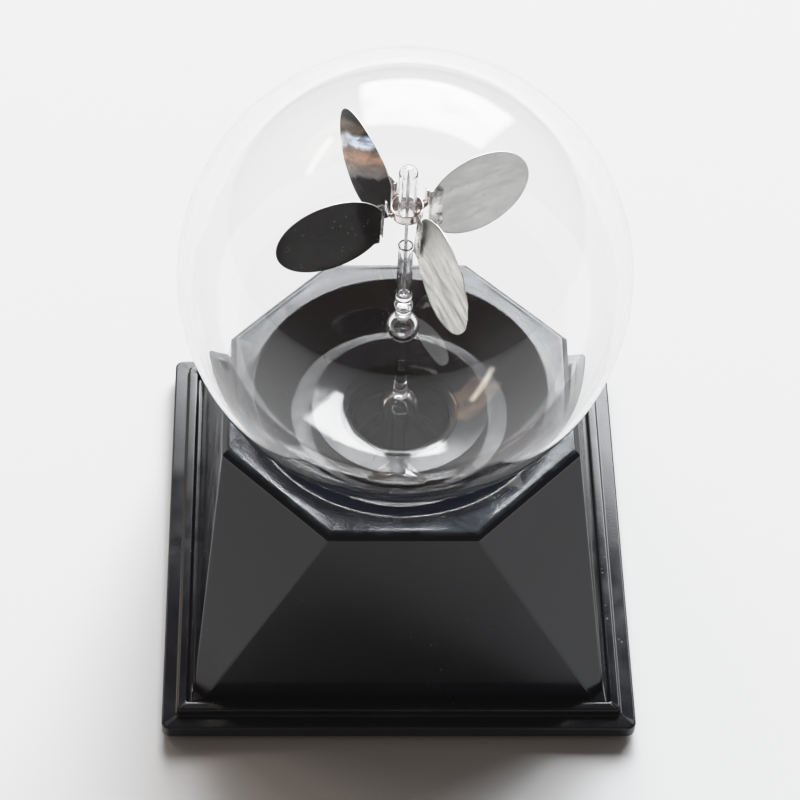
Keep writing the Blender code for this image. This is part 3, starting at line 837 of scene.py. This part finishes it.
def add_screws(steel):
    """Countersunk screws with a cross recess, head down."""
    for number in range(1, 5):
        node = f"cover_screw_{number}"
        lo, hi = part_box(node)
        head = [
            (0, lo.z),
            (SCREW_HEAD - 0.0002, lo.z),
            (SCREW_HEAD, lo.z + 0.0001),
            (SCREW_SHANK * 0.8, lo.z + 0.0018),
        ]
        tip = [(SCREW_SHANK * 0.4, hi.z - 0.0002), (0, hi.z)]
        bm = turned(head + thread_profile(lo.z + 0.0024) + tip)
        place = spot_of(node)
        bm.transform(place)
        screw = add_piece(f"screw_{number}", bm, [steel], "base", [node])
        cross = bmesh.new()
        for turn in (0, math.pi / 2):
            bar = bmesh.new()
            bmesh.ops.create_cube(bar, size=1)
            bmesh.ops.scale(bar, verts=bar.verts, vec=(RECESS_LENGTH, RECESS_WIDTH, 2 * RECESS_DEPTH))
            angle = Matrix.Rotation(turn + RECESS_TURN * number, 4, "Z")
            append(cross, bar, place @ Matrix.Translation((0, 0, lo.z)) @ angle)
        cut(screw, cross)
        sharpen(screw, 30)


def add_feet(rubber):
    for number in range(1, 5):
        node = f"foot_{number}"
        lo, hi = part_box(node)
        radius = (hi.x - lo.x) / 2
        flat = radius - 0.0012
        rim = rounded([(flat, hi.z), (radius, hi.z), (radius, lo.z), (flat, lo.z)], 0.0003)
        dimple_z = lo.z + 0.00015
        dimple = [(radius * 0.55, lo.z), (radius * 0.5, dimple_z), (0, dimple_z)]
        bm = turned([(0, hi.z)] + rim + dimple)
        bm.transform(spot_of(node))
        foot = add_piece(f"rubber_foot_{number}", bm, [rubber], "base", [node])
        sharpen(foot, 40)


def add_grommet(rubber):
    lo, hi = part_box("neck_grommet")
    inner, outer = NECK_RADIUS + GAP, hi.x
    middle = (lo.z + hi.z) / 2
    section = rounded([
        (inner, middle),
        (inner, hi.z),
        (outer, hi.z),
        (outer, lo.z),
        (inner, lo.z),
        (inner, middle - 0.0001),
    ], 0.0005)
    bm = turned(section, TURN_STEPS // 2)
    add_piece("neck_ring", bm, [rubber], "base", ["neck_grommet"])


# Bulb and stem

def bulb_profile(offset, steps):
    """The globe, the fillet and the neck at an offset inside the outer surface, from top to bottom."""
    radius = BULB_RADIUS - offset
    neck = NECK_RADIUS - offset
    centre_r = NECK_RADIUS + NECK_FILLET
    centre_z = BULB_Z - math.sqrt((BULB_RADIUS + NECK_FILLET) ** 2 - centre_r**2)
    joint = math.degrees(math.asin(centre_r / (BULB_RADIUS + NECK_FILLET)))
    globe = arc((0, BULB_Z), radius, 90, joint - 90, steps)
    fillet = arc((centre_r, centre_z), NECK_FILLET + offset, joint + 90, 180, 8)
    return globe[1:] + fillet[1:] + [(neck, NECK_END_Z + GLASS / 2 + 0.0005)]


def add_bulb(glass):
    outer, inner = bulb_profile(0, GLOBE_STEPS), bulb_profile(GLASS, GLOBE_STEPS)
    lip = arc((NECK_RADIUS - GLASS / 2, NECK_END_Z + GLASS / 2), GLASS / 2, 0, -180, 8)
    top = BULB_Z + BULB_RADIUS
    bm = turned([(0, top)] + outer + lip + inner[::-1] + [(0, top - GLASS)], TURN_STEPS)
    add_piece("globe", bm, [glass], "bulb", ["glass_bulb"])


def flare_profile(offset, top, bottom, mouth):
    """The bell's side at an offset inside the outer surface, from the tube at the top down to the mouth."""
    steps = 20
    points = []
    for step in range(steps + 1):
        share = step / steps
        r = FLARE_TUBE + (mouth - FLARE_TUBE) * share**2.2
        points.append((r - offset, top + (bottom - top) * share))
    return points


def add_flare(glass):
    lo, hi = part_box("stem_flare")
    top = hi.z - FLARE_CROWN
    outer = flare_profile(0, top, lo.z, hi.x)
    inner = flare_profile(FLARE_WALL, top, lo.z, hi.x)
    crown = rounded([
        (ON_AXIS, hi.z),
        (0.0024, hi.z - 0.0005),
        (FLARE_TUBE, hi.z - 0.0024),
        outer[0],
    ], 0.0014, 6)[:-1]
    roof = [(max(r - FLARE_WALL, ON_AXIS), z - FLARE_WALL) for r, z in crown]
    outside = [(0, hi.z)] + crown + outer
    inside = inner[::-1] + roof[::-1] + [(0, hi.z - FLARE_WALL)]
    bm = turned(outside + inside, STEM_STEPS)
    flare = add_piece("flare", bm, [glass], "bulb", ["stem_flare"])
    keep_flats_flat(flare)


def add_exhaust_tube(glass):
    lo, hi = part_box("exhaust_tube")
    bore_end = lo.z + 0.0030
    outside = rounded([
        (ON_AXIS, lo.z),
        (0.0006, lo.z + 0.0004),
        (0.0011, lo.z + 0.0018),
        (hi.x, lo.z + 0.0050),
        (hi.x, hi.z - 0.0002),
        (hi.x - 0.0002, hi.z),
    ], 0.0008)
    inside = rounded([
        (EXHAUST_BORE, hi.z - 0.0001),
        (EXHAUST_BORE, lo.z + 0.0065),
        (EXHAUST_BORE * 0.6, lo.z + 0.0042),
        (ON_AXIS, bore_end),
    ], 0.0008)
    bm = turned([(0, lo.z)] + outside + inside + [(0, bore_end)])
    tube = add_piece("exhaust", bm, [glass], "bulb", ["exhaust_tube"])
    keep_flats_flat(tube)


def add_stem_rod(glass):
    lo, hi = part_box("stem_rod")
    side = rounded([
        (0.0007, hi.z),
        (0.0009, hi.z - 0.0006),
        (0.0010, (lo.z + hi.z) / 2),
        (0.0013, lo.z + 0.0006),
        (0.0016, lo.z),
    ], 0.0012)
    bm = turned([(0, hi.z)] + side + [(0, lo.z)])
    rod = add_piece("rod", bm, [glass], "bulb", ["stem_rod"])
    keep_flats_flat(rod)


def add_bead_ball(glass):
    """A small blown ball: a sphere with a round bubble inside it, whose faces look inwards."""
    lo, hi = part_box("bead_ball")
    radius = (hi.z - lo.z) / 2
    middle = lo.z + radius
    side = arc((0, middle), radius, 90, -90, 40)[1:-1]
    bm = turned([(0, hi.z)] + side + [(0, lo.z)], 64)
    ball = add_piece("ball", bm, [glass], "bulb", ["bead_ball"])
    hollow = radius * BALL_HOLLOW
    side = arc((0, middle), hollow, 90, -90, 40)[1:-1]
    bubble = turned([(0, middle + hollow)] + side + [(0, middle - hollow)], 64)
    face_outwards(bubble)
    bmesh.ops.reverse_faces(bubble, faces=bubble.faces)
    bubble.from_mesh(ball.data)
    for face in bubble.faces:
        face.smooth = True
    bubble.to_mesh(ball.data)
    bubble.free()


def add_bead_ring(glass):
    lo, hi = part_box("bead_ring")
    post = hi.x - 0.0004
    bulge = arc((hi.x - BEAD_BULGE, hi.z - BEAD_BULGE), BEAD_BULGE, 90, -60, 14)
    waist = rounded([
        bulge[-1],
        (post, hi.z - 2.0 * BEAD_BULGE),
        (post, lo.z + 0.0003),
        (post + 0.0002, lo.z),
    ], 0.0003)
    bm = turned([(0, hi.z)] + bulge + waist[1:] + [(0, lo.z)])
    bead = add_piece("bead", bm, [glass], "bulb", ["bead_ring"])
    keep_flats_flat(bead)


def add_needle_tube(glass):
    lo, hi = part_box("needle_tube")
    mouth = TUBE_RADIUS - 0.00012
    wall = rounded([
        (TUBE_RADIUS - 0.0006, lo.z),
        (TUBE_RADIUS, lo.z + 0.0003),
        (TUBE_RADIUS - 0.0002, hi.z - 0.0008),
        (mouth, hi.z),
        (TUBE_BORE, hi.z),
        (TUBE_BORE, lo.z + TUBE_FLOOR + 0.0003),
        (TUBE_BORE * 0.4, lo.z + TUBE_FLOOR),
    ], 0.0003, 5)
    bm = turned([(0, lo.z)] + wall + [(0, lo.z + TUBE_FLOOR)])
    tube = add_piece("tube", bm, [glass], "bulb", ["needle_tube"])
    keep_flats_flat(tube)


def add_needle(steel):
    lo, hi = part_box("needle")
    radius = hi.x
    side = [
        (radius * 0.15, hi.z - 0.00008),
        (radius * 0.55, hi.z - 0.0011),
        (radius * 0.9, hi.z - 0.0026),
        (radius, hi.z - 0.0038),
        (radius, lo.z + 0.0001),
        (radius * 0.7, lo.z),
    ]
    bm = turned([(0, hi.z)] + side + [(0, lo.z)], 32)
    needle = add_piece("pivot", bm, [steel], "bulb", ["needle"])
    sharpen(needle, 40)


# Mill

def add_glass_cap(glass):
    lo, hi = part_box("glass_cap")
    inner_top = hi.z - CAP_DOME
    outer = arc((0, hi.z - CAP_RADIUS), CAP_RADIUS, 90, 0, 16)[1:]
    inner = arc((0, inner_top - CAP_BORE), CAP_BORE, 90, 0, 12)[1:]
    lip = (CAP_RADIUS - CAP_BORE) / 2
    rim = arc((CAP_BORE + lip, lo.z + lip), lip, 0, -180, 8)
    bm = turned([(0, hi.z)] + outer + rim + inner[::-1] + [(0, inner_top)])
    cap = add_piece("cap", bm, [glass], "rotor", ["glass_cap"])
    keep_flats_flat(cap)


def add_collar(steel):
    """A shallow cup pressed from thin sheet, with four arms that reach out to the clips."""
    lo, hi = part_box("hub_collar")
    inner = CAP_RADIUS + GAP
    section = rounded([
        (inner, lo.z + 0.0002),
        (CUP_RADIUS * 0.75, lo.z + 0.0001),
        (CUP_RADIUS - 0.0001, lo.z + 0.0004),
        (CUP_RADIUS, hi.z - 0.0006),
    ], COLLAR_BEND, 8)
    back = [(r - COLLAR_SHEET * 0.8, z + COLLAR_SHEET * 0.6) for r, z in section[:-1]]
    back.append((section[-1][0] - COLLAR_SHEET, section[-1][1] + 0.00005))
    edge = [(section[-1][0] - COLLAR_SHEET / 2, section[-1][1] + 0.0001)]
    bm = turned(section + edge + back[::-1], STEM_STEPS)
    for vert in bm.verts:
        azimuth = math.atan2(vert.co.y, vert.co.x)
        dent = 0.5 + 0.5 * math.cos(4 * azimuth)
        height = (vert.co.z - lo.z) / (hi.z - lo.z)
        shrink = 1 - CUP_DENT * dent * height
        vert.co.x *= shrink
        vert.co.y *= shrink
        vert.co.z += CUP_CRUMPLE * noise.noise(vert.co * 900) * height
    for azimuth, *_ in VANES:
        append(bm, collar_arm(lo.z, hi.z), Matrix.Rotation(math.radians(azimuth), 4, "Z"))
    add_piece("collar", bm, [steel], "rotor", ["hub_collar"])


def collar_arm(low, high):
    """A strip along +X from under the cup's rim to the clip, turned up at its end."""
    path = rounded([
        (CUP_RADIUS - 0.0002, low + 0.0012),
        (COLLAR_RADIUS - 0.0001, low + 0.0016),
        (COLLAR_RADIUS, high + 0.0016),
    ], 0.0006, 6)
    bm = bmesh.new()
    rings = []
    for step, (r, z) in enumerate(path):
        half = ARM_WIDTH / 2 * (1 - 0.25 * step / len(path))
        thick = Vector((-COLLAR_SHEET, 0, 0)) if step > len(path) / 2 else Vector((0, 0, COLLAR_SHEET))
        left, right = Vector((r, -half, z)), Vector((r, half, z))
        rings.append([bm.verts.new(p) for p in (left, right, right + thick, left + thick)])
    for near, far in zip(rings, rings[1:]):
        bridge(bm, near, far)
    bm.faces.new(rings[0])
    bm.faces.new(rings[-1])
    return bm


def sheet_grid(across, along, place):
    """A grid of quads. Place gives a vertex position from two numbers from 0 to 1."""
    bm = bmesh.new()
    rows = []
    for i in range(along + 1):
        rows.append([bm.verts.new(place(i / along, j / across)) for j in range(across + 1)])
    for low, high in zip(rows, rows[1:]):
        for j in range(across):
            bm.faces.new((low[j], low[j + 1], high[j + 1], high[j]))
    return bm


def thicken(obj, thickness, back=0):
    step = obj.modifiers.new("sheet", "SOLIDIFY")
    step.thickness = thickness
    step.offset = 0
    step.material_offset = back
    step.use_even_offset = True


def vane_place(azimuth, lean):
    """A vane's own frame: along it +X, its bare side to -Y, up it +Z."""
    turn = Matrix.Rotation(math.radians(azimuth), 4, "Z") @ Matrix.Rotation(math.radians(lean), 4, "X")
    return Matrix.Translation((0, 0, VANE_Z)) @ turn


def add_clip(number, azimuth, lean, steel):
    """A crumpled tab: a web across the vane's root, folded back along the vane's bare side."""
    side = CAD_VANE_SHEET / 2
    near = -side - GAP - CLIP_SHEET / 2
    path = rounded([
        (CLIP_INNER + CLIP_SHEET, side),
        (CLIP_INNER + CLIP_SHEET, near),
        (CLIP_TIP, near),
    ], 0.0004, 6)
    lengths = [0.0]
    for a, b in zip(path, path[1:]):
        lengths.append(lengths[-1] + (Vector(b) - Vector(a)).length)
    low = CLIP_RISE - CLIP_HEIGHT / 2
    seed = Vector((number * 3.1, number * 1.7, 0))

    def place(up, on):
        reach = on * lengths[-1]
        step = min(max(k for k, total in enumerate(lengths) if total <= reach), len(path) - 2)
        share = (reach - lengths[step]) / (lengths[step + 1] - lengths[step])
        x, y = Vector(path[step]).lerp(Vector(path[step + 1]), share)
        trim = 1 - 0.10 * on * abs(noise.noise(seed + Vector((0, 0, up * 2))))
        z = low + CLIP_HEIGHT * (0.5 + (up - 0.5) * trim)
        point = Vector((x, y, z))
        crumple = noise.noise(point * 900 + seed) + 0.5 * noise.noise(point * 2200 + seed)
        return x, y - abs(crumple) * CLIP_CRUMPLE * on, z

    bm = sheet_grid(30, 40, place)
    spot = vane_place(azimuth, lean)
    clip = add_piece(f"clip_{number}", bm, [steel], "rotor", [f"vane_clip_{number}"], spot)
    thicken(clip, CLIP_SHEET)


def curled(along, side, radius):
    """Bends a point of a flat vane clockwise about a vertical axis, from the clip outwards."""
    if radius is None or along <= VANE_BEND_START:
        return along, side
    angle = (along - VANE_BEND_START) / radius
    reach = radius + side
    return VANE_BEND_START + reach * math.sin(angle), side - reach * (1 - math.cos(angle))


def add_vane(number, azimuth, lean, rise, radius, wrinkle, square_heel, bare, black):
    """A thin oval leaf cut off straight at its root: bare foil on one side, blackened on the other."""
    centre = VANE_TIP - VANE_LENGTH_RADIUS
    first = math.acos((VANE_ROOT - centre) / VANE_LENGTH_RADIUS)
    seed = Vector((number * 5.3, 0, number * 2.9))

    def place(on, up):
        angle = first * (1 - on)
        along = centre + VANE_LENGTH_RADIUS * math.cos(angle)
        height = max(VANE_HEIGHT_RADIUS * math.sin(angle), 0.00005)
        level = (2 * up - 1) * height
        if square_heel and up < 0.5 and along < VANE_ROOT + 0.0026:
            level = (2 * up - 1) * max(height, VANE_HEIGHT_RADIUS * 0.58)
        crease = noise.noise(Vector((along * 90, 0, level * 420)) + seed)
        crease += 0.5 * noise.noise(Vector((along * 260, 0, level * 900)) + seed)
        free = min(1.0, (along - VANE_ROOT) / 0.002)
        x, y = curled(along, crease * wrinkle * free, radius)
        return x, y, level + rise * (along - VANE_ROOT)

    bm = sheet_grid(48, 64, place)
    spot = vane_place(azimuth, lean)
    sides = [bare, black]
    vane = add_piece(f"leaf_{number}", bm, sides, "rotor", [f"vane_{number}"], spot)
    face_bare_side(vane)
    thicken(vane, VANE_SHEET, 1)


def face_bare_side(vane):
    """Turns the leaf's faces so that their normals point to its bare side, local -Y."""
    if sum(face.normal.y * face.area for face in vane.data.polygons) > 0:
        vane.data.flip_normals()


# The whole scene

def develop(view):
    """Gives the picture a camera's response: a slight lift of the blacks, and highlights that roll off."""
    view.use_curve_mapping = True
    mapping = view.curve_mapping
    mapping.white_level = (WHITE_LEVEL, WHITE_LEVEL, WHITE_LEVEL)
    tone = mapping.curves[3].points
    tone[0].location = (0.0, FILM_BASE)
    tone[1].location = (1.0, 1.0)
    for light, shown in TONES:
        tone.new(light / WHITE_LEVEL, shown)
    tone[0].handle_type = tone[1].handle_type = "VECTOR"
    mapping.update()


def light_the_room():
    view = bpy.context.scene.view_settings
    view.view_transform = "Standard"
    develop(view)
    cycles = bpy.context.scene.cycles
    cycles.caustics_refractive = False
    cycles.caustics_reflective = False
    cycles.max_bounces = 24
    cycles.transmission_bounces = 24
    add_world((0.095, 0.078, 0.068), (0.46, 0.455, 0.45), (1.00, 1.01, 1.02))
    add_light("window", 12.0, 35.2, LIGHT_DISTANCE, (50, 37), 17.5, (0.96, 0.98, 1.0))
    add_light("lamp", -51.0, 42.3, LIGHT_DISTANCE, (20, 3.5), 9.0, (1.0, 0.93, 0.80))
    add_light("warm_wall", -40.0, 42.0, LIGHT_DISTANCE, (24, 20), 1.6, (1.0, 0.68, 0.46))


def add_floor():
    bm = bmesh.new()
    bmesh.ops.create_grid(bm, x_segments=1, y_segments=1, size=FLOOR_HALF)
    mesh = bpy.data.meshes.new("floor")
    bm.to_mesh(mesh)
    bm.free()
    mesh.materials.append(floor_look())
    floor = bpy.data.objects.new("floor", mesh)
    bpy.context.scene.collection.objects.link(floor)


def main():
    add_camera()
    light_the_room()
    add_floor()

    # The pedestal's plastic has a painted sheen of the window's reflection on its deck.
    shades = ((0.0055, 0.0065, 0.0105), (0.009, 0.0105, 0.016))
    plastic = plastic_look("plastic", shades, (0.07, 0.17), DECK_Z - 0.0005)
    shades = ((0.014, 0.014, 0.015), (0.022, 0.021, 0.022))
    cover_plastic = plastic_look("cover_plastic", shades, (0.40, 0.60))
    rubber = rubber_look()
    shades = ((0.34, 0.34, 0.35), (0.56, 0.55, 0.54))
    screw_steel = metal_look("screw_metal", shades, (0.25, 0.5), 900.0, 0.2, 0.00001)
    shades = ((0.48, 0.48, 0.49), (0.66, 0.65, 0.64))
    needle_steel = metal_look("needle_metal", shades, (0.12, 0.3), 1500.0, 0.1, 0.000004)
    shades = ((0.74, 0.69, 0.68), (0.90, 0.84, 0.82))
    collar_steel = metal_look("collar_metal", shades, (0.12, 0.3), 900.0, 0.3, 0.00001)
    shades = ((0.20, 0.19, 0.18), (0.86, 0.85, 0.83))
    clip_steel = metal_look("clip_metal", shades, (0.12, 0.36), 1500.0, 0.5, 0.00005)
    glass = glass_look("globe_glass", (1, 1, 1), (0.95, 0.95, 0.95), 25.0, 1.45)
    stem_glass = glass_look("stem_glass", (0.97, 0.97, 0.98), (0.92, 0.92, 0.92), 200.0, 1.5)
    shades = ((0.70, 0.70, 0.69), (0.82, 0.82, 0.81))
    plain_foil = foil_look("foil", shades, (0.50, 0.64), 700.0, 0.00001)
    shades = ((0.72, 0.71, 0.68), (0.87, 0.86, 0.83))
    creased_foil = foil_look("creased_foil", shades, (0.36, 0.52), 420.0, 0.00008)
    black = black_side_look()
    painted_reflection_side = reflection_painted_side_look(0.0010, 0.0176)

    add_pedestal(plastic)
    add_bottom_cover(cover_plastic)
    add_screws(screw_steel)
    add_feet(rubber)
    add_grommet(rubber)

    add_bulb(glass)
    add_flare(stem_glass)
    add_exhaust_tube(stem_glass)
    add_stem_rod(stem_glass)
    add_bead_ball(stem_glass)
    add_bead_ring(stem_glass)
    add_needle_tube(stem_glass)
    add_needle(needle_steel)

    add_glass_cap(stem_glass)
    add_collar(collar_steel)
    for number, (azimuth, lean, rise, radius, wrinkle, square_heel) in enumerate(VANES, start=1):
        bare = creased_foil if number == 4 else plain_foil
        # Vane 2's black side has painted reflection bands.
        dark = painted_reflection_side if number == 2 else black
        add_clip(number, azimuth, lean, clip_steel)
        add_vane(number, azimuth, lean, rise, radius, wrinkle, square_heel, bare, dark)


main()
